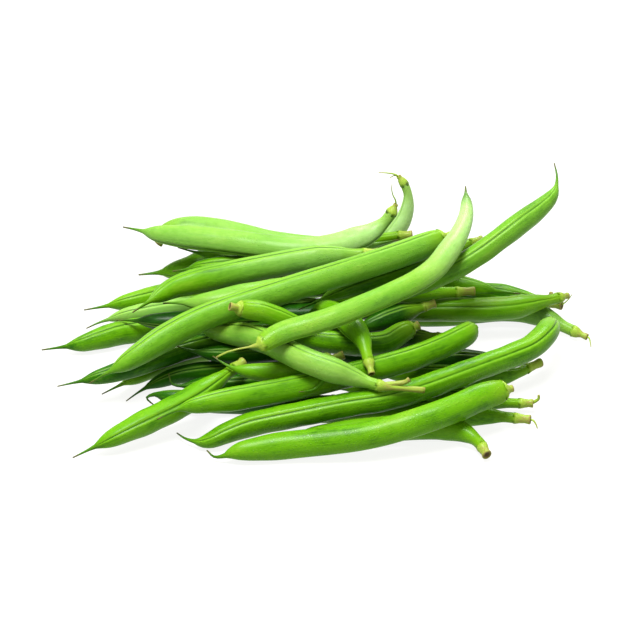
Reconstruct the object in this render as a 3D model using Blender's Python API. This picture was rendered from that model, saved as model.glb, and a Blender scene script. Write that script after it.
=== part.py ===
"""A heap of green beans, lying as it fell. Blender 4.5, metres, +Z up.

Each bean grew as one piece: the thin tail, the pod, the calyx collar and a stub of stem. It is one
curve object with an oval section. The longer axis of the section runs from seam to seam. BEANS says
where each one lies, and press_apart moves and bends them the little that keeps any two from sharing
space. The origin is on the ground under the middle of the heap.
"""

import math

import bpy
import numpy as np

MM = 0.001
GAP = 0.35  # clear space kept between two beans that rest on each other, mm
STEP = 2.0  # distance between the places where a bean is tested against the others, mm
ROUNDS = 200  # how many times the beans that share space are pressed apart
PULLED = 100  # in how many of those rounds each bean is also drawn back to its own route
SLOPE = np.array([0.0, 0.839, -0.545])  # the way down to the back, along which beans slip most
GRIP = 0.6  # how far a bean gives way otherwise, as a share of what a contact asks for
STIFFNESS = 0.04  # how much a bean keeps its place and shape, against one point of contact
SIDES = 10  # sides of a pod's section
FLATNESS = 0.9  # thickness of a pod across its seams, over its depth from seam to seam
RING_GAP = 9.0  # about the distance between two rings along the middle of a pod, mm

# Half the depth of a bean along its length, in mm. A tail's list runs from the tip of the tail, a
# stem's from the calyx, where the stem stub joins, and each ends at the pod's full depth. Both are
# shortened alike on a bean that is too short for them.
TAIL_SHAPE = [(0.0, 0.25), (5.0, 0.45), (9.0, 0.9), (11.5, 2.0), (15.0, 3.1), (20.0, 3.8), (30.0, 4.6)]
STEM_SHAPE = [(0.0, 1.9), (1.5, 2.1), (5.0, 2.1), (11.0, 3.3), (20.0, 4.6)]
# the tail of the pod that is slender for a long way
SLENDER_TAIL = [(0.0, 0.25), (3.0, 0.6), (7.0, 2.1), (13.0, 2.9), (19.0, 3.4), (25.0, 3.8), (36.0, 4.6)]
SLENDER = {"top_cross"}
# the stem end of the pods that are full almost to the calyx
BLUNT_SHAPE = [(0.0, 1.7), (0.8, 2.6), (2.5, 3.6), (6.0, 4.3), (12.0, 4.6)]
BLUNT = {"top_long", "middle_long", "front_upper", "right_short", "front_long", "top_curl", "top_cross",
         "back_upper", "small_front"}
SHORTEST_WALL = 5.0  # the least length between a bean's tail and its stem end, mm
STUB_END = 1.8  # half the thickness of the stem stub where it is cut, mm
# the same for the thinner stubs, and for two stalks that were left on whole
STALK_ENDS = {"right_wide": 1.2, "right_back_2": 1.2, "back_top": 0.9, "back_steep": 1.2,
              "crossing": 1.3, "front_long": 1.2, "middle_long": 1.4, "top_long": 1.3,
              "front_cross": 1.1, "top_cross": 0.4}
CALYX_STEP = 0.7  # how much thicker than the stub a calyx may be, as half thickness, mm
STUB_NECK = 1.5  # the stub has that thickness from this far past the calyx, mm
FULL_DEPTH = 9.2  # depth from seam to seam that the lists above are drawn for, mm

POD_GREEN = (0.16, 0.42, 0.02, 1.0)

# One row a bean: its name, its depth from seam to seam and the length of its stem stub in mm, the
# turn of its seams in degrees, and the route of its middle line in mm, from the tip of its tail to
# the cut end of its stem. X runs to the right along the heap, Y to its back, and Z up.
BEANS = [
    # on the ground, from the front to the back
    ("front_right", 9.4, 3, -22, [(-16, 10, 3), (-5, 11, 4.5), (20, 13, 5), (46, 13, 5), (57, 6, 5),
                                  (61, -1, 4)]),
    ("right_low_1", 8.6, 4, -3, [(-22, 21, 3), (0, 24.5, 4), (25, 26, 4), (55, 23, 4), (66, 22, 4),
                                 (77, 20, 4)]),
    ("right_low_2", 8.4, 3, 27, [(2, 42, 3.5), (14, 40, 4), (26, 38, 4.2), (42, 36, 4.2), (58, 33, 4),
                                 (69, 31, 4), (78, 31, 4)]),
    ("right_low_3", 8.8, 5, 12, [(16, 49, 3), (30, 49, 4.5), (45, 48, 4.5), (58, 46.5, 4.5),
                                 (70, 48.5, 4.5), (76, 53, 4.5), (81, 57, 4.5)]),
    ("left_low_1", 8.6, 3, -15, [(-58, 34, 1), (-61, 34, 3), (-59, 34, 6), (-48, 32, 5), (-28, 31, 4),
                                 (-10, 31.5, 4), (11, 33.5, 4)]),
    ("left_low_5", 8.6, 4, 4, [(-53, 43, 9), (-53.5, 42, 7), (-51, 40.5, 5.5), (-45, 41, 5), (-38, 42, 5),
                               (-25, 43, 5), (-5, 50, 5), (12, 55, 4)]),
    ("inside_low_1", 8.6, 4, 27, [(-2, 63, 3), (20, 60.5, 4), (40, 59, 4.5), (62, 59.5, 4.5),
                                  (74, 61, 4.5)]),
    ("inside_low_2", 8.6, 3, 27, [(14, 71, 3.5), (26, 72, 4.5), (38, 73, 4.5), (48, 74, 4.5)]),
    ("left_low_2", 9.0, 4, 35, [(-77, 40, 2), (-67, 46, 4), (-52, 58, 5), (-30, 68, 5), (0, 74, 5),
                                (25, 77, 4)]),
    ("left_low_3", 9.6, 4, 23, [(-99, 69, 2), (-85, 70, 4), (-70, 76, 5), (-40, 83, 5), (-5, 86, 5)]),
    ("left_low_8", 8.6, 4, 24, [(-83, 82, 3), (-77, 85, 4), (-66, 88, 5), (-40, 94, 5), (-8, 95.5, 5),
                                (9, 95.5, 5)]),
    ("left_back_1", 9.4, 4, 27, [(-84, 94, 2), (-67, 96, 5), (-50, 102, 5), (-20, 105, 5), (18, 106, 4)]),
    ("left_back_2", 11.0, 3, -88, [(-64.5, 119, 2), (-52, 119, 3.5), (-44, 119, 5.5), (-34, 124, 6),
                                   (-14, 132, 5)]),
    ("right_back_1", 8.8, 4, 27, [(0, 104, 3), (30, 105, 5), (60, 102, 5), (75, 99, 5), (89, 94, 5)]),
    ("right_back_2", 9.0, 4, -18, [(10, 92, 3), (25, 88, 4.5), (45, 87, 5), (56, 89, 5), (66, 91, 5),
                                   (74, 91, 5), (81, 88, 5), (88, 83, 4), (98, 76, 3)]),
    ("back_steep", 7.0, 2, 29, [(-22, 130, 3), (-4, 127, 4), (10, 124, 7), (22, 123, 12), (29, 124, 18),
                                (33, 126, 26), (33, 128, 33), (30, 130, 37.5)]),
    # second layer
    ("front_left", 10.2, 3, 48, [(-87, 0, 1), (-71, 6, 6.5), (-56, 14.5, 9.5), (-44, 22, 12),
                                 (-30, 36, 15), (-26, 40, 16)]),
    ("front_long", 10.0, 2, -23, [(-39, 3, 2), (-35.5, -1.5, 2), (-28.5, -1.5, 4.5), (-20, 0, 5),
                                  (-10, 1.5, 5.5), (19, 2.5, 9), (45, 9.5, 13.5), (59, 18, 15),
                                  (70.5, 24, 15)]),
    ("middle_long", 9.8, 3, 48, [(-50, 15, 2.8), (-46.5, 10.5, 3), (-40, 7.5, 3.5), (-32, 10, 5.5),
                                 (-23, 13, 7), (-2, 15, 10.5), (12, 17, 12.3), (30, 21, 13.5),
                                 (59, 38, 14.5), (77, 50.5, 15), (83, 61, 15), (84, 73, 11)]),
    ("left_low_4", 8.6, 4, 24, [(-93, 34, 9), (-74, 38, 12), (-60, 45, 13), (-42, 55, 13), (-20, 61, 14),
                                (5, 62, 15)]),
    ("left_low_6", 9.0, 4, 33, [(-52, 53, 13), (-42, 52, 13), (-25, 53, 13), (0, 54, 14), (25, 57, 14)]),
    ("left_low_7", 8.0, 4, 32, [(-68, 36, 2), (-63, 41, 3), (-57, 45, 4), (-48, 48.5, 5), (-30, 52, 5),
                                (-6, 57, 4.5)]),
    ("left_dark", 8.8, 4, -90, [(-72, 78, 9), (-61, 71, 13), (-45, 70, 14), (-20, 74, 15), (10, 76, 15),
                                (30, 76, 14)]),
    ("right_wide", 9.6, 3, 46, [(-8, 78, 14), (20, 82, 13), (45, 81, 12.5), (66, 80.5, 12),
                                (77, 83.5, 12), (86, 87.5, 12), (91, 90.5, 12)]),
    ("inside_2b", 8.8, 4, 27, [(-50, 92, 12), (-10, 96, 13), (30, 97, 13)]),
    ("right_back_3", 8.8, 4, -7, [(74, 91, 12), (66, 91, 13), (55, 94, 13), (25, 103, 13),
                                  (-5, 108, 13)]),
    ("inside_2c", 8.8, 4, 27, [(-52, 105, 13), (-30, 106, 13), (-12, 107, 13)]),
    ("inside_2d", 8.8, 3, 28, [(-50, 118, 13), (-20, 115, 13), (10, 118, 15), (35, 120, 19)]),
    # middle of the heap
    ("front_upper", 9.4, 2, 8, [(-57, 9, 12.5), (-49, 12.5, 13.5), (-42, 13.5, 14), (-36, 15, 14),
                                (-27, 17, 14), (-5, 23.5, 15), (27, 37, 17), (41, 45, 17.5),
                                (53, 53, 18.5), (56, 62, 14.5)]),
    ("small_front", 8.2, 4, -10, [(-37, 37, 20), (-28, 32, 18), (-9, 32, 17), (1, 37, 17), (10, 41, 18)]),
    ("right_short", 9.0, 2, 18, [(-20, 57, 17), (-8, 54, 17), (5, 49.5, 18.5), (23, 48.5, 19),
                                 (31, 53, 20.5), (37, 60, 17.5)]),
    ("right_stub", 8.2, 5, -19, [(-5, 78, 16), (20, 81, 19), (40, 81, 19), (57, 82, 18)]),
    ("crossing", 8.8, 4, 49, [(-6, 66, 15), (-3, 67, 19), (2, 64, 23.5), (9, 53, 26), (16, 41, 25),
                              (18, 34, 23), (20, 25, 21)]),
    ("back_upper", 9.4, 2, 63, [(30, 117, 19), (9, 112.5, 17), (-13, 114, 17), (-27, 119.5, 17),
                                (-42, 124.5, 17.5), (-53, 124, 17.5), (-57.5, 122.5, 14.5)]),
    ("back_top", 9.4, 2, -67, [(-70, 125, 20), (-58, 118, 20), (-42, 112, 21), (-13, 103, 23),
                               (4, 103, 24), (20, 109, 27), (26, 110.5, 32), (29, 112, 37)]),
    ("left_upper_1", 9.0, 4, -67, [(-55, 75, 20), (-42, 71.5, 21), (-27, 73.5, 21), (0, 80, 21),
                                   (22, 89, 20)]),
    ("left_upper_2", 9.8, 4, 2, [(-66, 66, 20), (-56, 76, 21), (-48, 81, 22), (-27, 87, 24), (1, 92, 27),
                                 (23, 93, 28)]),
    # top of the heap
    ("under_top", 8.8, 3, 44, [(-6, 64, 23), (12, 73, 25), (30, 81, 27), (43, 90, 28), (60, 100, 30)]),
    ("inside_top", 8.4, 3, 22, [(12, 56, 18), (28, 64, 20), (43, 69, 22)]),
    ("front_cross", 9.8, 15, 8, [(-50, 60, 17), (-43, 58, 19), (-36, 54, 20), (-28, 50, 21.5),
                                 (-20, 43, 24), (-6, 27, 26), (5, 22, 24), (16, 21, 20),
                                 (24.5, 17.5, 19.3), (38.5, 18, 17.7)]),
    ("right_high", 9.0, 3, 8, [(86, 105, 59), (87, 99, 55), (84, 93, 51), (72, 83, 46), (57, 75, 38),
                               (45, 71, 33), (30, 68, 28), (14, 63, 21)]),
    ("top_long", 10.0, 2, 8, [(-82, 32, 14), (-67, 36, 18), (-42, 50, 24), (-13, 60.5, 30),
                              (16, 71.5, 35), (48.5, 89.5, 36.5)]),
    ("top_curl", 8.0, 3, -19, [(5, 45.5, 26), (-3, 45.5, 27), (-10, 46, 29.5), (-20, 49, 31.8),
                               (-27, 50.5, 32), (-31, 46, 35.7)]),
    ("top_cross", 8.2, 15.5, 78, [(54, 102, 51), (54, 88, 47), (49, 72, 45), (38, 55, 42), (9, 37, 38),
                                  (-12, 30, 34.8), (-20, 25, 33), (-30.5, 22.5, 32), (-35.6, 22, 29.5)]),
]


def smooth_line(points, spacing):
    """Points at even distances along a smooth line through the given ones."""
    corners = np.array(points, float)
    before = 2 * corners[0] - corners[1]
    after = 2 * corners[-1] - corners[-2]
    corners = np.vstack([before, corners, after])
    share = np.linspace(0, 1, 24, endpoint=False)[:, None]
    line = []
    for a, b, c, d in zip(corners, corners[1:], corners[2:], corners[3:]):
        cubic = 3 * b - 3 * c + d - a
        square = 2 * a - 5 * b + 4 * c - d
        line.append(b + 0.5 * share * (c - a + share * (square + share * cubic)))
    line = np.vstack(line + [corners[-2:-1]])
    length = lengths_along(line)
    even = np.linspace(0, length[-1], max(2, round(length[-1] / spacing)) + 1)
    return resample(line, length, even)


def lengths_along(line):
    steps = np.linalg.norm(np.diff(line, axis=0), axis=1)
    return np.concatenate([[0.0], np.cumsum(steps)])


def resample(line, length, wanted):
    return np.column_stack([np.interp(wanted, length, column) for column in line.T])


def end_shapes(name, total, stub):
    """The shapes of a bean's tail and stem, as lists of length and half depth in mm."""
    tail = SLENDER_TAIL if name in SLENDER else TAIL_SHAPE
    stem = BLUNT_SHAPE if name in BLUNT else STEM_SHAPE
    share = min(1.0, (total - stub - SHORTEST_WALL) / (tail[-1][0] + stem[-1][0]))
    end = STALK_ENDS.get(name, STUB_END)
    tail = [(share * length, half) for length, half in tail]
    stem = [(share * length, half) for length, half in stem]
    calyx = min(stem[0][1], end + CALYX_STEP)
    return tail, [(-stub, end), (-STUB_NECK, end), (0.0, calyx)] + stem[1:]


def half_depth(name, depth, stub, length):
    """Half the depth of a bean, in mm, at each length along it."""
    tail, stem = end_shapes(name, length[-1], stub)
    from_tail = np.interp(length, *zip(*tail))
    from_stem = np.interp(length[-1] - length - stub, *zip(*stem))
    return depth / FULL_DEPTH * np.minimum(from_tail, from_stem)


def contacts(points, half, owner):
    """Pairs of places in two beans that are nearer than they may be, how much, and which way."""
    first, second = np.triu_indices(len(points), 1)
    near = owner[first] != owner[second]
    for axis in range(3):
        first, second = first[near], second[near]
        near = np.abs(points[first, axis] - points[second, axis]) < 2 * half.max() + GAP
    first, second = first[near], second[near]
    apart = points[first] - points[second]
    distance = np.linalg.norm(apart, axis=1)
    short = half[first] + half[second] + GAP - distance
    kept = short > 0
    return first[kept], second[kept], short[kept, None], apart[kept] / distance[kept, None]


def press_apart(lines, halves):
    """The beans' middle lines, moved and gently bent until they are clear of each other and of the
    ground. Each bean answers its contacts with a shift, a turn and two bends, mostly down the
    slope, and at first is also drawn back to its own route."""
    owner = np.repeat(np.arange(len(lines)), [len(line) for line in lines])
    share = np.concatenate([np.linspace(-1, 1, len(line)) for line in lines])
    ways = np.stack([np.ones_like(share), share, share**2, share**3], axis=1)
    start = np.vstack(lines)
    points = start
    half = np.concatenate(halves)
    for done in range(ROUNDS):
        first, second, short, away = contacts(points, half, owner)
        low = np.flatnonzero(points[:, 2] < half)
        lift = np.zeros((len(low), 3))
        lift[:, 2] = half[low] - points[low, 2]
        place = np.concatenate([first, second, low])
        move = np.vstack([short * away / 2, -short * away / 2, lift])
        move = GRIP * move + (move @ SLOPE)[:, None] * SLOPE
        back = STIFFNESS * max(0.0, 1 - done / PULLED) * (start - points)
        hold = np.zeros((len(lines), 4, 4))
        push = np.zeros((len(lines), 4, 3))
        np.add.at(hold, owner, STIFFNESS * ways[:, :, None] * ways[:, None, :])
        np.add.at(hold, owner[place], ways[place, :, None] * ways[place, None, :])
        np.add.at(push, owner[place], ways[place, :, None] * move[:, None, :])
        np.add.at(push, owner, ways[:, :, None] * back[:, None, :])
        answer = np.linalg.solve(hold, push)
        points = points + (ways[:, :, None] * answer[owner]).sum(axis=1)
    ends = np.cumsum([len(line) for line in lines])[:-1]
    return np.split(points, ends)


def settled_heap():
    """Each bean's middle line, in mm, where it lies."""
    lines = []
    halves = []
    for name, depth, stub, _, route in BEANS:
        line = smooth_line(route, STEP)
        lines.append(line)
        halves.append(half_depth(name, depth, stub, lengths_along(line)))
    return press_apart(lines, halves)


def ring_lengths(name, total, stub):
    """Where the rings of a bean are along its length: close at both ends, even between them."""
    tail, stem = end_shapes(name, total, stub)
    tail = [length for length, _ in tail]
    stem = [total - stub - length for length, _ in stem][::-1]
    count = max(1, round((stem[0] - tail[-1]) / RING_GAP))
    middle = np.linspace(tail[-1], stem[0], count + 1)[1:-1]
    bend = np.linspace(stem[-2], stem[-1], max(1, round(stub / 4)) + 1)[1:-1]
    rings = np.concatenate([tail, middle, stem, bend])
    return np.unique(np.round(rings, 3))


def collection(name, hidden=False):
    made = bpy.data.collections.new(name)
    made.hide_render = hidden
    bpy.context.scene.collection.children.link(made)
    return made


def material(name, colour):
    made = bpy.data.materials.new(name)
    made.use_nodes = True
    made.diffuse_color = colour
    shader = made.node_tree.nodes["Principled BSDF"]
    shader.inputs["Base Color"].default_value = colour
    shader.inputs["Roughness"].default_value = 0.4
    shader.inputs["Metallic"].default_value = 0.0
    return made


def closed_spline(curve, points):
    spline = curve.splines.new("POLY")
    spline.points.add(len(points) - 1)
    for point, (x, y) in zip(spline.points, points):
        point.co = (x, y, 0, 1)
    spline.use_cyclic_u = True


def section(guides):
    """The oval section of a pod with a half depth of 1 mm, as a bevel object."""
    angles = [2 * math.pi * side / SIDES for side in range(SIDES)]
    curve = bpy.data.curves.new("pod_section", "CURVE")
    closed_spline(curve, [(FLATNESS * MM * math.sin(a), MM * math.cos(a)) for a in angles])
    made = bpy.data.objects.new("pod_section", curve)
    made.hide_render = True
    made.display_type = "WIRE"
    guides.objects.link(made)
    return made


def pod(bean, line, profile, heap):
    """One bean as a curve object, with its own material."""
    name, full_depth, stub, seam, _ = bean
    length = lengths_along(line)
    rings = ring_lengths(name, length[-1], stub)
    middle = resample(line, length, rings)
    half = half_depth(name, full_depth, stub, rings)
    curve = bpy.data.curves.new(name, "CURVE")
    curve.dimensions = "3D"
    curve.twist_mode = "MINIMUM"
    curve.bevel_mode = "OBJECT"
    curve.bevel_object = profile
    curve.use_fill_caps = True
    spline = curve.splines.new("POLY")
    spline.points.add(len(rings) - 1)
    for point, place, radius in zip(spline.points, middle, half):
        point.co = (*(place * MM), 1)
        point.radius = radius
        point.tilt = math.radians(seam)
    made = bpy.data.objects.new(name, curve)
    made.data.materials.append(material(name + "_skin", POD_GREEN))
    heap.objects.link(made)
    return made


def set_on_origin(heap):
    """Move the heap so that the origin is on the ground under its middle."""
    bpy.context.view_layer.update()
    corners = np.array([corner for bean in heap.objects for corner in bean.bound_box])
    low = corners.min(axis=0)
    high = corners.max(axis=0)
    shift = (-(low[0] + high[0]) / 2, -(low[1] + high[1]) / 2, -low[2])
    for bean in heap.objects:
        bean.location = shift


def main():
    for obj in list(bpy.data.objects):
        bpy.data.objects.remove(obj)
    heap = collection("green_bean_heap")
    guides = collection("guides", hidden=True)
    profile = section(guides)
    for bean, line in zip(BEANS, settled_heap()):
        pod(bean, line, profile, heap)
    set_on_origin(heap)


main()
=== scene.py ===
import math

import bmesh
import bpy
import numpy as np
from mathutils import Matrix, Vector


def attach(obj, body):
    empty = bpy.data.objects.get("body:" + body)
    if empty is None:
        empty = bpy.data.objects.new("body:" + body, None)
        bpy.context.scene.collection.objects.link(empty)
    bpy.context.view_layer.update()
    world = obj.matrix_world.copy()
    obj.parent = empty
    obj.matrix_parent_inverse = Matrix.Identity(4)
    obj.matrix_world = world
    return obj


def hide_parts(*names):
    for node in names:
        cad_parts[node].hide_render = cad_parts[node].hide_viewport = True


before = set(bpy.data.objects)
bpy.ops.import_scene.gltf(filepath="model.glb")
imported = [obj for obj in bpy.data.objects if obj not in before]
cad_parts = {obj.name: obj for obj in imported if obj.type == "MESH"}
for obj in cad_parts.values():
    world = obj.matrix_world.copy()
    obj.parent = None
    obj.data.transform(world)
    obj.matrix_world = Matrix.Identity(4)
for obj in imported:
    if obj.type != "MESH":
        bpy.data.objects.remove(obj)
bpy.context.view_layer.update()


# ------------------------------------------------------------------------------------------------
# The blank: one straight green bean, a soft pod of two walls that meet in a groove with raised lips
# on one side and in a flatter line on the other. A calyx of five teeth clasps its neck, and its
# stem is cut short. It is evenly thick, and every bean is a copy of it with its own taper and bend.
# ------------------------------------------------------------------------------------------------
MM = 0.001
SIDES = 50
STEP_ROUND = 360 / SIDES
POD_HALF = 4.6 * MM
# the rings of the blank, in mm from the tip of its tail; even ones lie between tail and shoulder
TAIL_CUTS = (0.8, 1.8, 3, 4.5, 6, 7.5, 9, 10.5, 12, 13.5, 15, 17, 19, 21, 24, 27, 30)
SHOULDER = 100.0
STEM_CUTS = (102, 104, 106, 108, 109.5, 111, 112.5, 113.6, 114.3, 114.5, 115.2, 116, 116.8, 117.8,
             118.8, 119.6, 120)
BODY_CUTS = 69
CALYX = 116.0
CUT_END = 120.0
# the cut end: the width of its rim, the depth behind the rim, and the width and rise of the pith
RIM_WIDTH = 0.9 * MM
RIM_DEPTH = 0.35 * MM
PITH_EDGE = 1.6 * MM
PITH_RISE = 0.15 * MM
# the two seams: the angle round the pod, how far the lips are drawn together, and in mm how deep
# the line between them is pushed in and how high they are raised
GROOVE_START = 4.0
SEAMS = ((0, 0.62, 0.24, 0.12), (180, 0.80, 0.06, 0.08))
# the edge of the calyx, its teeth, and the rings that stand proud or are drawn in
CALYX_EDGE = 114.5
TEETH = 5
TOOTH_ROUND = 360 / TEETH
TOOTH_HALF = 18
TOOTH_LENGTH = 0.9 * MM
FLARES = ((CALYX_EDGE, 1.09), (115.2, 1.05), (117.8, 0.92), (119.6, 1.06))


def deselect_all():
    if bpy.context.object and bpy.context.object.mode == "EDIT":
        bpy.ops.object.mode_set(mode="OBJECT")
    bpy.ops.object.select_all(action="DESELECT")


def straight_rod(name, half, length, sides):
    """A round rod along x from 0 to its length, left in edit mode."""
    deselect_all()
    bpy.ops.mesh.primitive_cylinder_add(vertices=sides, radius=half, depth=length,
                                        location=(length / 2, 0, 0), rotation=(0, math.pi / 2, 0))
    rod = bpy.context.object
    rod.name = name
    bpy.ops.object.transform_apply(location=True, rotation=True, scale=True)
    bpy.ops.object.mode_set(mode="EDIT")
    return rod


def angle_of(place):
    """The angle round the blank from its groove, in degrees, from 0 to 360."""
    return math.degrees(math.atan2(place.y, place.z)) % 360


def on_ring(cut):
    """A test for the corners of one ring."""
    return lambda place: abs(place.x - cut * MM) < 0.05 * MM


def near_seam(seam_angle, nearest, furthest):
    """A test for the pod's corners between so many steps round from a seam."""
    def test(place):
        steps = abs((angle_of(place) - seam_angle + 180) % 360 - 180) / STEP_ROUND
        return GROOVE_START * MM < place.x < (CALYX_EDGE - 0.5) * MM and nearest < steps < furthest
    return test


def select_corners(wanted):
    """Select the corners whose place passes the test, in edit mode."""
    bpy.ops.mesh.select_mode(type="VERT")
    bpy.ops.mesh.select_all(action="DESELECT")
    mesh = bmesh.from_edit_mesh(bpy.context.edit_object.data)
    for corner in mesh.verts:
        if wanted(corner.co):
            corner.select_set(True)
    mesh.select_flush_mode()
    bmesh.update_edit_mesh(bpy.context.edit_object.data)


def add_rings(start, end, count):
    """Cut the edges that run along a rod between two places into even parts."""
    bpy.ops.mesh.select_mode(type="EDGE")
    bpy.ops.mesh.select_all(action="DESELECT")
    mesh = bmesh.from_edit_mesh(bpy.context.edit_object.data)
    for edge in mesh.edges:
        low, high = sorted(corner.co.x for corner in edge.verts)
        edge.select_set(low > start - 0.1 * MM and high < end + 0.1 * MM and high - low > MM)
    bmesh.update_edit_mesh(bpy.context.edit_object.data)
    bpy.ops.mesh.subdivide(number_cuts=count)


def finish_rod():
    bpy.ops.object.mode_set(mode="OBJECT")
    bpy.ops.object.shade_smooth()


blank = straight_rod("blank", POD_HALF, TAIL_CUTS[0] * MM, SIDES)
select_corners(on_ring(TAIL_CUTS[0]))
reached = TAIL_CUTS[0]
for cut in TAIL_CUTS[1:] + (SHOULDER,) + STEM_CUTS:
    bpy.ops.mesh.extrude_region_move(
        TRANSFORM_OT_translate={"value": ((cut - reached) * MM, 0, 0)})
    reached = cut
# the cut end of the stem: a rim round a sunken pith
bpy.ops.mesh.select_mode(type="FACE")
bpy.ops.mesh.inset(thickness=RIM_WIDTH)
bpy.ops.mesh.extrude_region_move(TRANSFORM_OT_translate={"value": (-RIM_DEPTH, 0, 0)})
bpy.ops.mesh.inset(thickness=PITH_EDGE)
bpy.ops.transform.translate(value=(PITH_RISE, 0, 0))
add_rings(TAIL_CUTS[-1] * MM, SHOULDER * MM, BODY_CUTS)
# the seams: the lips are drawn together and raised, and the line between them is pushed in
for seam_angle, tuck, sink, lift in SEAMS:
    up = 1 if seam_angle == 0 else -1
    select_corners(near_seam(seam_angle, 0.5, 1.5))
    bpy.ops.transform.resize(value=(1, tuck, 1))
    select_corners(near_seam(seam_angle, 0.5, 2.5))
    bpy.ops.transform.translate(value=(0, 0, up * lift * MM))
    select_corners(near_seam(seam_angle, -0.5, 0.5))
    bpy.ops.transform.translate(value=(0, 0, -up * sink * MM))
# the calyx and the stem: rings that flare or narrow, and teeth that point along the pod
for cut, flare in FLARES:
    select_corners(on_ring(cut))
    bpy.ops.transform.resize(value=(1, flare, flare), center_override=(cut * MM, 0, 0))
select_corners(lambda place: on_ring(CALYX_EDGE)(place)
               and abs(angle_of(place) % TOOTH_ROUND - TOOTH_ROUND / 2) < TOOTH_HALF)
bpy.ops.transform.translate(value=(-TOOTH_LENGTH, 0, 0))
finish_rod()


# ------------------------------------------------------------------------------------------------
# The skin: one living surface, green and moist, over pod, tail, calyx and stem.
# Its green is mottled and faintly streaked along the pod, dark in the groove and pale on its lips.
# The tail darkens to a brown thread, the neck and calyx turn yellow-green, and the cut is brown.
# ------------------------------------------------------------------------------------------------
# painted shade: PAINTED_SHADE_GREEN, the darkest green, darkens the beans deep in the heap as if
# shade fell on them
PAINTED_SHADE_GREEN = (0.003, 0.026, 0.0005, 1)
DEEP_GREEN = (0.013, 0.080, 0.001, 1)
POD_GREEN = (0.082, 0.230, 0.002, 1)
FRESH_GREEN = (0.142, 0.278, 0.014, 1)
# painted light: PAINTED_GLOW_GREEN is a pale glow painted where thin pods seem to let the light
# through and on the washed-out beans at the back
PAINTED_GLOW_GREEN = (0.285, 0.440, 0.185, 1)
GROOVE_GREEN = (0.008, 0.048, 0.001, 1)
LIP_GREEN = (0.165, 0.320, 0.024, 1)
TAIL_GREEN = (0.030, 0.100, 0.003, 1)
TAIL_BROWN = (0.075, 0.075, 0.024, 1)
NECK_GREEN = (0.130, 0.260, 0.006, 1)
CALYX_GREEN = (0.220, 0.310, 0.040, 1)
CUT_BROWN = (0.060, 0.036, 0.012, 1)
PITH_BROWN = (0.210, 0.170, 0.060, 1)
# how fine each pattern is, in waves a mm along the pod and across it
MOTTLE_WAVES = (0.05, 0.16)
CLOUD_WAVES = (0.45, 0.60)
STREAK_WAVES = (0.07, 2.2)
FRECKLE_WAVES = (1.1, 1.1)
BEAD_WAVES = (1.3, 1.3)
FILM_WAVES = (0.10, 0.26)
GRAIN_WAVES = (2.2, 3.5)
BUMP_HEIGHT = 0.35 * MM
LIGHT_REACH = 1.2 * MM


class Shade:
    """A socket in a material, for writing shader maths. + - * on it add Math nodes."""

    def __init__(self, tree, socket=None):
        self.tree = tree
        self.socket = socket

    def node(self, kind, settings=(), sockets=(), output=0):
        """A new node of any kind, with its settings and the values or links of its sockets."""
        made = self.tree.nodes.new(kind)
        for name, value in dict(settings).items():
            setattr(made, name, value)
        for name, value in dict(sockets).items():
            if isinstance(value, Shade):
                self.tree.links.new(value.socket, made.inputs[name])
            else:
                made.inputs[name].default_value = value
        return Shade(self.tree, made.outputs[output])

    def maths(self, operation, first, second):
        return self.node("ShaderNodeMath", {"operation": operation}, {0: first, 1: second})

    def __add__(self, other):
        return self.maths("ADD", self, other)

    def __sub__(self, other):
        return self.maths("SUBTRACT", self, other)

    def __rsub__(self, other):
        return self.maths("SUBTRACT", other, self)

    def __mul__(self, other):
        return self.maths("MULTIPLY", self, other)

    __radd__ = __add__
    __rmul__ = __mul__

    def smooth(self, start, end):
        """0 up to start and 1 past end, with a soft step between them; start may be the larger."""
        low, high, left, right = (start, end, 0.0, 1.0) if start < end else (end, start, 1.0, 0.0)
        return self.node("ShaderNodeMapRange", {"interpolation_type": "SMOOTHSTEP"},
                         {"Value": self, "From Min": low, "From Max": high,
                          "To Min": left, "To Max": right})

    def blend(self, under, over):
        """One colour over another, by this mask."""
        return self.node("ShaderNodeMix", {"data_type": "RGBA"}, {0: self, 6: under, 7: over}, 2)

    def attribute(self, name, output):
        return self.node("ShaderNodeAttribute", {"attribute_name": name}, {}, output)

    def scaled(self, waves):
        """A place on the straight pod in mm, scaled along and across it for a pattern."""
        along, across = waves
        return self.node("ShaderNodeVectorMath", {"operation": "MULTIPLY"},
                         {0: self, 1: (along, across, across)})

    def noise(self, waves, detail=2.0, roughness=0.5):
        return self.node("ShaderNodeTexNoise", {},
                         {"Vector": self.scaled(waves), "Scale": 1.0, "Detail": detail,
                          "Roughness": roughness})

    def cells(self, waves, feature, sockets=()):
        """The distance from the nearest of many scattered points."""
        return self.node("ShaderNodeTexVoronoi", {"feature": feature},
                         {"Vector": self.scaled(waves), "Scale": 1.0, "Randomness": 1.0,
                          **dict(sockets)})


skin = bpy.data.materials.new("bean_skin")
skin.use_nodes = True
skin_shader = skin.node_tree.nodes["Principled BSDF"]
skin_nodes = Shade(skin.node_tree)
tail_mm, calyx_mm, end_mm, suture, tone_and_shade, painted_glow, wetness, pith = (
    skin_nodes.attribute(name, 2) for name in (
        "tail_mm", "calyx_mm", "end_mm", "suture", "tone_and_shade", "painted_glow", "wetness", "pith"))
straight_place = skin_nodes.attribute("straight", 1)

# the walls: mottled green between deep and fresh, pulled down to a painted shade on the beans deep
# in the heap, with a painted pale glow where the pod is thin, and pale freckles
mottle = straight_place.noise(MOTTLE_WAVES, 3.0)
cloud = straight_place.noise(CLOUD_WAVES)
streak = straight_place.noise(STREAK_WAVES)
freckle = straight_place.cells(FRECKLE_WAVES, "F1")
lightness = tone_and_shade * 0.30 + (mottle - 0.5) * 1.1 + (cloud - 0.5) * 0.30 + (streak - 0.5) * 0.40 + 0.5
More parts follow.
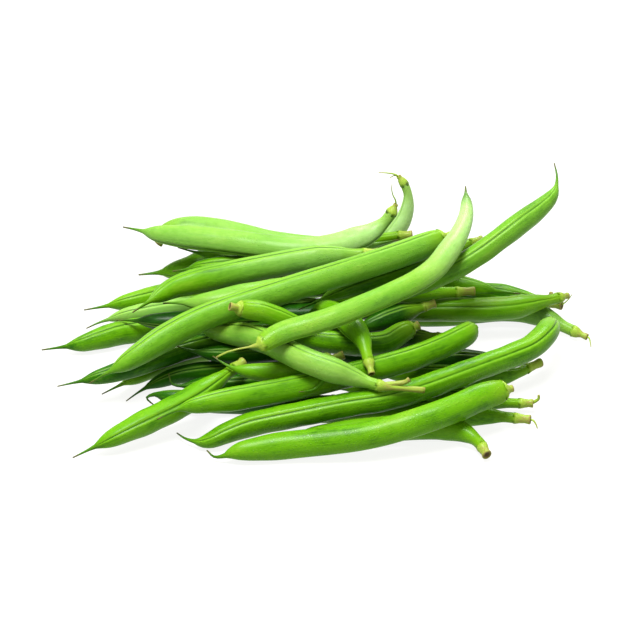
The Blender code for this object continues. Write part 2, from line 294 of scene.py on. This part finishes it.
# painted shade: a tone far below 0 takes a bean down to the darkest green
green = lightness.smooth(-0.60, 0.05).blend(PAINTED_SHADE_GREEN, DEEP_GREEN)
green = lightness.smooth(0.05, 0.55).blend(green, POD_GREEN)
green = lightness.smooth(0.50, 1.00).blend(green, FRESH_GREEN)
# painted light: a pale glow where light would shine through a thin pod
green = (painted_glow + (cloud - 0.5) * painted_glow * 0.6).blend(green, PAINTED_GLOW_GREEN)
green = (freckle.smooth(0.16, 0.06) * 0.20).blend(green, LIP_GREEN)
# the seams: suture is 0 in the middle of the groove and 1 in the flatter line
on_wall = tail_mm.smooth(6, 12) * calyx_mm.smooth(1, 4)
broken = 0.35 + mottle.smooth(0.40, 0.60) * 0.65
lip = suture.smooth(0.015, 0.035) * suture.smooth(0.110, 0.050)
far_lip = suture.smooth(0.92, 0.96) * suture.smooth(0.990, 0.975)
green = ((lip * 0.34 + far_lip * 0.25) * on_wall).blend(green, LIP_GREEN)
groove = suture.smooth(0.030, 0.008) * broken + suture.smooth(0.976, 0.992) * 0.35
green = (groove * on_wall * calyx_mm.smooth(3, 9) * 0.85).blend(green, GROOVE_GREEN)
# the two ends: the neck, the tail and its dry tip, the calyx with its bruises, and the brown cut
green = (calyx_mm.smooth(12, 2) * 0.6).blend(green, NECK_GREEN)
green = (tail_mm.smooth(12, 4) * 0.8).blend(green, TAIL_GREEN)
green = (tail_mm + cloud * 4.0).smooth(6.0, 2.6).blend(green, TAIL_BROWN)
calyx = (calyx_mm + (cloud - 0.5) * 1.2).smooth(2.4, 1.2) * 0.85
green = calyx.blend(green, CALYX_GREEN)
bruise = (calyx_mm + cloud * 3.0).smooth(2.2, 0.2) * streak.smooth(0.42, 0.60) * 0.7
green = bruise.blend(green, PITH_BROWN)
rim = (end_mm + (cloud - 0.5) * 1.6).smooth(0.8, 0.1)
green = (rim * 0.8).blend(green, PITH_BROWN)
green = pith.blend(green, CUT_BROWN)
# moisture and fine grain: beads of water in wet patches, and small soft bumps that break the gloss
beads = straight_place.cells(BEAD_WAVES, "SMOOTH_F1", {"Smoothness": 0.4})
film = straight_place.noise(FILM_WAVES)
wet = (film + wetness * 0.16).smooth(0.52, 0.66)
drop = beads.smooth(0.36, 0.12) * wet
matt = (cloud - 0.5) * 0.18 + (mottle - 0.5) * 0.10 + 0.40 + rim * 0.35 + groove * 0.1 - drop * 0.22
coat = 0.22 + drop * 0.75
grain = straight_place.noise(GRAIN_WAVES, 3.0, 0.6)
height = grain * 0.55 + streak * 0.45 + drop * 2.4 + cloud * 0.9
bump = skin_nodes.node("ShaderNodeBump", {},
                       {"Strength": 0.40, "Distance": BUMP_HEIGHT, "Height": height})

for name, value in (("Base Color", green), ("Roughness", matt), ("Coat Weight", coat),
                    ("Normal", bump)):
    skin.node_tree.links.new(value.socket, skin_shader.inputs[name])
for name, value in (("Metallic", 0.0), ("IOR", 1.42), ("Specular IOR Level", 0.09),
                    ("Subsurface Weight", 0.10), ("Subsurface Radius", (0.6, 1.0, 0.15)),
                    ("Subsurface Scale", LIGHT_REACH), ("Coat Roughness", 0.24),
                    ("Coat IOR", 1.33)):
    skin_shader.inputs[name].default_value = value


# ------------------------------------------------------------------------------------------------
# The beans: fresh pods that lie loose on each other, held by nothing but their weight. Each one is
# a copy of the blank, bent along the middle line of its own solid and as thick as it, with the
# groove on its seam. Seeds swell the walls a little between the sutures.
# ------------------------------------------------------------------------------------------------
TIP_WIDTH = 0.8 * MM
FLATNESS = 0.9
SHORTEST_WALL = 5.0 * MM
FRONT = np.array((0, -0.84, 0.54))
# how the walls swell: a share of the thickness over each seed and a slower drift along the pod,
# both fading out towards the tail and the neck
SEED_SPACING = 11.5 * MM
SEED_SWELL = 0.018
PLUMP = {"small_front": 0.07, "left_back_2": 0.05, "left_low_3": 0.04, "left_upper_1": 0.035}
DRIFT_SPACING = 47 * MM
DRIFT = 0.015
EVEN_TAIL = 14 * MM
EVEN_NECK = 10 * MM
FADE = 10 * MM
# how pale a bean is above 0, painted light on the washed-out beans at the back, or below 0 how deep
# its green is, painted shade on the beans deep in the heap; the others are drawn by lot
TONES_AND_PAINTED_SHADE = {"back_top": 0.4, "back_upper": 0.4, "back_steep": 1.0, "top_cross": 0.5, "front_long": 0.0,
         "middle_long": -0.1, "right_high": 0.0, "left_low_1": -1.7, "left_low_5": -1.8,
         "left_low_4": -1.2, "left_low_6": -1.6, "left_low_7": -1.7, "left_dark": -2.8,
         "inside_top": -2.8, "inside_2b": -2.8, "inside_low_1": -3.0, "inside_low_2": -3.0,
         "right_low_3": -0.5, "front_upper": -0.1, "top_long": 0.2, "front_cross": 0.7,
         "left_upper_2": 0.2, "crossing": 0.1}
TONE_BY_LOT = 0.5
# how much pale glow is painted on a bean at its tail and at its stem, painted light that stands in
# for light shining through thin pods and for the washed-out beans at the back, and between which
# shares of its length that changes
PAINTED_GLOW = {"back_steep": (0.80, 0.95, 0.1, 0.9), "back_top": (0.22, 0.70, 0.55, 0.85),
         "top_cross": (0.75, 0.10, 0.15, 0.42), "right_high": (0.10, 0.05, 0.2, 0.8),
         "back_upper": (0.25, 0.25, 0.2, 0.8), "front_cross": (0.12, 0.28, 0.2, 0.8),
         "left_upper_2": (0.0, 0.25, 0.3, 0.7), "top_long": (0.05, 0.12, 0.3, 0.8),
         "left_low_8": (0.30, 0.30, 0.2, 0.8), "left_upper_1": (0.15, 0.15, 0.2, 0.8),
         "right_back_2": (0.0, 0.30, 0.6, 0.95), "middle_long": (0.0, 0.45, 0.90, 0.99)}
# the beans with most water on them
WET = {"front_long": 1.0, "middle_long": 0.8, "top_cross": 0.9, "top_long": 0.6, "front_upper": 0.4}
# how many rings of a solid lie past its calyx, where there are more than two
STALK_RINGS = {"front_cross": 5, "top_cross": 5}
# every bean shows its own part of the patterns, from anywhere in so many mm
PATTERN_SPREAD = 400
luck = np.random.default_rng(7)
anchors = {}


def ring_list(node):
    """The rings of corners of a bean's solid, from the tip of its tail to the cut of its stem."""
    solid = bmesh.new()
    solid.from_mesh(node.data)
    bmesh.ops.remove_doubles(solid, verts=solid.verts, dist=0.01 * MM)
    tip = min(solid.edges, key=lambda edge: edge.calc_length()).verts[0].co
    ring = {corner for corner in solid.verts if (corner.co - tip).length < TIP_WIDTH}
    seen = set(ring)
    rings = []
    while ring:
        rings.append(np.array([corner.co for corner in ring]))
        ring = {edge.other_vert(corner) for corner in ring for edge in corner.link_edges} - seen
        seen |= ring
    solid.free()
    return rings


def lengths_along(middles):
    steps = np.linalg.norm(np.diff(middles, axis=0), axis=1)
    return np.concatenate([[0.0], np.cumsum(steps)])


def bean_line(node):
    """Lengths along a bean, and there the middle, the way to its seam and its half depth."""
    middles = []
    seams = []
    halves = []
    for ring in ring_list(node):
        middle = (ring.max(axis=0) + ring.min(axis=0)) / 2 if len(ring) < 3 else ring.mean(axis=0)
        reach = ring - middle
        far = reach[np.argmax(np.linalg.norm(reach, axis=1))]
        if seams and far @ seams[-1] < 0:
            far = -far
        middles.append(middle)
        halves.append(np.linalg.norm(far))
        seams.append(far / halves[-1])
    middles, seams, halves = np.array(middles), np.array(seams), np.array(halves)
    if seams[len(seams) // 2] @ FRONT < 0:
        seams = -seams
    return lengths_along(middles), middles, seams, halves[:, None]


def joined(lengths, values, slopes, wanted):
    """Values between the rings, by a smooth curve with the given slopes at the rings."""
    before = np.clip(np.searchsorted(lengths, wanted) - 1, 0, len(lengths) - 2)
    span = (lengths[before + 1] - lengths[before])[:, None]
    share = (wanted - lengths[before])[:, None] / span
    rise = values[before + 1] - values[before]
    start_slope = slopes[before] * span - rise
    end_slope = rise - slopes[before + 1] * span
    curve = share * (1 - share) * ((1 - share) * start_slope + share * end_slope)
    return values[before] + share * rise + curve


def even_slopes(lengths, values):
    """Slopes that never overshoot, for the thickness."""
    steep = np.diff(values, axis=0) / np.diff(lengths)[:, None]
    product = steep[:-1] * steep[1:]
    total = np.where(product > 0, steep[:-1] + steep[1:], 1.0)
    inner = np.where(product > 0, 2 * product / total, 0.0)
    return np.concatenate([steep[:1], inner, steep[-1:]])


def unit(vectors):
    return vectors / np.linalg.norm(vectors, axis=1, keepdims=True)


def followed(lengths, middles, along, reach):
    """Places on a middle line, and the way ahead there, taken over a short reach to both sides."""
    bend = np.gradient(middles, lengths, axis=0)
    ahead = unit(joined(lengths, middles, bend, np.minimum(along + reach, lengths[-1]))
                 - joined(lengths, middles, bend, np.maximum(along - reach, 0)))
    return joined(lengths, middles, bend, along), ahead


def corners_of(rod):
    places = np.zeros(len(rod.data.vertices) * 3)
    rod.data.vertices.foreach_get("co", places)
    return places.reshape(-1, 3)


def bent_copy(rod, mesh_name, name, places, straight, values):
    """A piece with a rod's faces, its own corners, and what the skin reads at each of them."""
    mesh = rod.data.copy()
    mesh.name = mesh_name
    mesh.vertices.foreach_set("co", places.ravel())
    for attribute, value in values.items():
        layer = mesh.attributes.new(attribute, "FLOAT", "POINT")
        layer.data.foreach_set("value", np.zeros(len(places)) + value)
    layer = mesh.attributes.new("straight", "FLOAT_VECTOR", "POINT")
    layer.data.foreach_set("vector", straight.ravel())
    mesh.materials.clear()
    mesh.materials.append(skin)
    mesh.update()
    piece = bpy.data.objects.new(name, mesh)
    bpy.context.scene.collection.objects.link(piece)
    return piece


blank_corners = corners_of(blank)
blank_x, blank_y, blank_z = blank_corners.T
in_pith = (blank_x > (CUT_END - 0.4) * MM) & (np.hypot(blank_y, blank_z) < 0.7 * POD_HALF)
suture_share = np.arctan2(np.abs(blank_y), blank_z) / math.pi

for name, node in sorted(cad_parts.items()):
    lengths, middles, seams, halves = bean_line(node)
    total = lengths[-1]
    calyx_ring = -1 - STALK_RINGS.get(name, 2)
    calyx_at = lengths[calyx_ring]
    anchors[name, "end"] = middles[-1]
    anchors[name, "calyx"] = middles[calyx_ring]
    # tail and neck keep their length, but shrink on a short bean to leave it some wall
    share = min(1.0, (calyx_at - SHORTEST_WALL) / ((TAIL_CUTS[-1] + CALYX - SHOULDER) * MM))
    along = np.interp(blank_x, np.array([0, TAIL_CUTS[-1], SHOULDER, CALYX, CUT_END]) * MM,
                      [0, share * TAIL_CUTS[-1] * MM, calyx_at - share * (CALYX - SHOULDER) * MM,
                       calyx_at, total])
    middle, ahead = followed(lengths, middles, along, 0.5 * MM)
    half = joined(lengths, halves, even_slopes(lengths, halves), along)
    seam = joined(lengths, seams, np.gradient(seams, lengths, axis=0), along)
    seam = unit(seam - (seam * ahead).sum(axis=1, keepdims=True) * ahead)
    side = np.cross(seam, ahead)
    across = blank_corners[:, 1:2] / POD_HALF * half
    upward = blank_corners[:, 2:3] / POD_HALF * half
    # seeds swell the walls, and no pod is quite even
    room = np.minimum(along - EVEN_TAIL, calyx_at - EVEN_NECK - along)
    fade = np.clip(room / FADE, 0, 1)[:, None]
    turn = 2 * math.pi * (along[:, None] / SEED_SPACING + luck.random())
    drift = 2 * math.pi * (along[:, None] / DRIFT_SPACING + luck.random())
    widen = 1 + fade * (PLUMP.get(name, SEED_SWELL) * np.cos(turn) + DRIFT * np.cos(drift))
    places = middle + side * across * FLATNESS * widen + seam * upward

    pattern_start = luck.random(3) * PATTERN_SPREAD
    drawn_tone = luck.uniform(-TONE_BY_LOT, TONE_BY_LOT)
    glow_at_tail, glow_at_stem, turns_from, turns_to = PAINTED_GLOW.get(name, (0, 0, 0, 1))
    bean = bent_copy(
        blank, name + "_pod", name + "_pod", places,
        np.column_stack([along, across, upward]) / MM + pattern_start,
        {"tail_mm": along / MM, "calyx_mm": (calyx_at - along) / MM, "end_mm": (total - along) / MM,
         "suture": suture_share, "tone_and_shade": TONES_AND_PAINTED_SHADE.get(name, drawn_tone),
         "painted_glow": np.interp(along / total, [turns_from, turns_to], [glow_at_tail, glow_at_stem]),
         "wetness": WET.get(name, 0.0), "pith": in_pith})
    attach(bean, "root")
    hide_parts(name)
bpy.data.objects.remove(blank)


# ------------------------------------------------------------------------------------------------
# The threads: dry fibres left hanging at some of the cut stems, the fork of the long stalk in
# front, and the hooked tail that peeps out under that bean. Each one is a copy of one thin round
# thread, bent along its own route, and its root is sunk in the bean it grows from.
# ------------------------------------------------------------------------------------------------
THREAD_HALF = 0.5 * MM
THREAD_LENGTH = 10 * MM
THREAD_SIDES = 10
THREAD_CUTS = 26
# the bean and the place on it where a thread is rooted, what it is, its half thickness in mm at
# the root, midway and at the tip, and its route in mm from that place
THREADS = [
    ("back_top", "end", "fibre", (0.35, 0.22, 0.12),
     [(0, 0, -0.8), (-0.2, 0, 1.5), (-1.2, 0, 4.0), (-1.6, 0, 6.5), (-1.5, 0, 8.5)]),
    ("back_steep", "end", "fibre", (0.40, 0.26, 0.14),
     [(0.6, 0, -0.6), (-1.5, 0, 0.8), (-4.0, 0, 1.3), (-7.2, 0, 1.5)]),
    ("back_steep", "end", "fibre", (0.30, 0.20, 0.12),
     [(0.6, 0, -0.6), (-1.5, 0, 0.2), (-3.2, 0, -0.9)]),
    ("right_low_1", "end", "fibre", (0.45, 0.35, 0.20),
     [(-0.8, 0, 0), (0.7, -0.7, 0.3), (1.8, -1.9, -0.5), (2.4, -3.0, -1.8)]),
    ("right_low_2", "end", "stem", (0.75, 0.60, 0.45),
     [(-0.8, 0, 0.2), (0.8, 0, 0.9), (1.9, 0, 1.9), (2.0, 0.2, 3.4)]),
    ("right_back_2", "end", "fibre", (0.40, 0.25, 0.15),
     [(-0.8, 0.4, 0), (0.5, -0.8, 0.2), (1.0, -2.6, -0.4), (1.2, -4.6, -1.2)]),
    ("right_back_1", "end", "fibre", (0.30, 0.20, 0.12),
     [(-0.8, 0, 0), (1.0, 0.4, 1.0), (2.6, 0.8, 2.6), (3.6, 1.0, 4.2)]),
    ("right_back_1", "calyx", "stem", (1.2, 0.95, 0.75),
     [(-0.6, 0, 0), (-0.2, 0, 1.8), (-0.4, 0, 3.4), (-0.2, 0, 4.6)]),
    ("front_cross", "calyx", "stem", (1.30, 0.95, 0.95),
     [(-1.0, 0, 0), (2.0, 0.3, 0.6), (5.0, 0.4, 1.0), (8.2, 0.5, 1.7), (9.3, 0.6, 2.6)]),
    ("front_cross", "calyx", "tail", (1.05, 0.70, 0.12),
     [(-20.0, 5.5, 3.0), (-21.1, 6.2, -0.6), (-22.4, 5.4, -2.1), (-24.6, 4.0, -3.8),
      (-27.2, 3.0, -4.0), (-30.2, 1.6, -3.5)]),
]
# what the skin reads on a thread: a distance in mm that is far from any end of a bean, a place
# half way between the seams, how much painted pale glow a fibre has, and the step from pattern to
# pattern in mm
FAR = 50.0
BETWEEN_SEAMS = 0.5
FIBRE_PAINTED_GLOW = 0.5
PATTERN_STEP = 30

thread = straight_rod("thread", THREAD_HALF, THREAD_LENGTH, THREAD_SIDES)
add_rings(0, THREAD_LENGTH, THREAD_CUTS)
finish_rod()
thread_corners = corners_of(thread)
thread_x, thread_y, thread_z = thread_corners.T

for number, (name, spot, kind, thickness, route) in enumerate(THREADS):
    middles = anchors[name, spot] + np.array(route) * MM
    lengths = lengths_along(middles)
    total = lengths[-1]
    along = thread_x / THREAD_LENGTH * total
    middle, ahead = followed(lengths, middles, along, 0.2 * MM)
    half = np.interp(along, [0, total / 2, total], np.array(thickness) * MM)[:, None]
    upward = unit(np.cross(ahead, FRONT))
    side = np.cross(upward, ahead)
    spread = side * thread_corners[:, 1:2] + upward * thread_corners[:, 2:3]
    places = middle + spread * half / THREAD_HALF

    # a fibre is dry like the rim of a cut, a stem is like a bean's stem, and a tail like its tail
    to_tip = (total - along) / MM
    from_tail, from_calyx, from_end = {"fibre": (FAR, 1.0, to_tip * 0.15 + 0.2),
                                       "stem": (FAR, -1.0, to_tip),
                                       "tail": (to_tip, FAR, FAR)}[kind]
    hanging = bent_copy(
        thread, f"{kind}_{number}", f"{name}_{kind}_{number}", places,
        np.column_stack([along, thread_y, thread_z]) / MM + PATTERN_STEP * number,
        {"tail_mm": from_tail, "calyx_mm": from_calyx, "end_mm": from_end,
         "suture": BETWEEN_SEAMS, "tone_and_shade": 0.0, "painted_glow": FIBRE_PAINTED_GLOW if kind == "fibre" else 0.0,
         "wetness": 0.0, "pith": 0.0})
    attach(hanging, "root")
bpy.data.objects.remove(thread)


# ------------------------------------------------------------------------------------------------
# The floor, the light and the camera: a white table in bright soft daylight from above and from
# behind, seen from the front and from 33 degrees up, through a long lens.
# ------------------------------------------------------------------------------------------------
FLOOR_SIZE = 6.0
LENS = 1000.0
SENSOR = 36.0
DISTANCE = 6.4
ELEVATION = math.radians(33)
AIM = Vector((1.7 * MM, -3.4 * MM, 20 * MM))
scene = bpy.context.scene

bpy.ops.mesh.primitive_plane_add(size=FLOOR_SIZE, location=(0, 0, 0))
floor = bpy.context.object
floor.name = "floor"
white = bpy.data.materials.new("white_table")
white.use_nodes = True
table_shader = white.node_tree.nodes["Principled BSDF"]
for name, value in (("Base Color", (0.12, 0.12, 0.12, 1)), ("Roughness", 0.9),
                    ("Specular IOR Level", 0.0), ("Emission Color", (1, 1, 1, 1)),
                    ("Emission Strength", 0.88)):
    table_shader.inputs[name].default_value = value
floor.data.materials.append(white)

sky = bpy.data.worlds.new("daylight")
sky.use_nodes = True
sky_shader = sky.node_tree.nodes["Background"]
sky_shader.inputs["Color"].default_value = (1, 1, 0.64, 1)
sky_shader.inputs["Strength"].default_value = 0.86
scene.world = sky


def soft_light(name, energy, size, place, aim):
    """A round lamp of so many watts, so many metres across."""
    lamp = bpy.data.lights.new(name, "AREA")
    lamp.shape = "DISK"
    lamp.size = size
    lamp.energy = energy
    made = bpy.data.objects.new(name, lamp)
    scene.collection.objects.link(made)
    made.location = place
    made.rotation_euler = (Vector(aim) - Vector(place)).to_track_quat("-Z", "Y").to_euler()


soft_light("window", energy=21.0, size=0.50, place=(-0.15, -0.15, 0.95), aim=(0, 0, 0))
soft_light("back_window", energy=8.0, size=0.4, place=(0.2, 0.75, 0.75), aim=(0, 0, 0.02))

camera_data = bpy.data.cameras.new("camera")
camera_data.lens = LENS
camera_data.sensor_width = SENSOR
camera = bpy.data.objects.new("camera", camera_data)
scene.collection.objects.link(camera)
towards_camera = Vector((0, -math.cos(ELEVATION), math.sin(ELEVATION)))
camera.location = AIM + towards_camera * DISTANCE
camera.rotation_euler = (-towards_camera).to_track_quat("-Z", "Y").to_euler()
scene.camera = camera
scene.view_settings.view_transform = "Standard"
scene.view_settings.gamma = 0.94
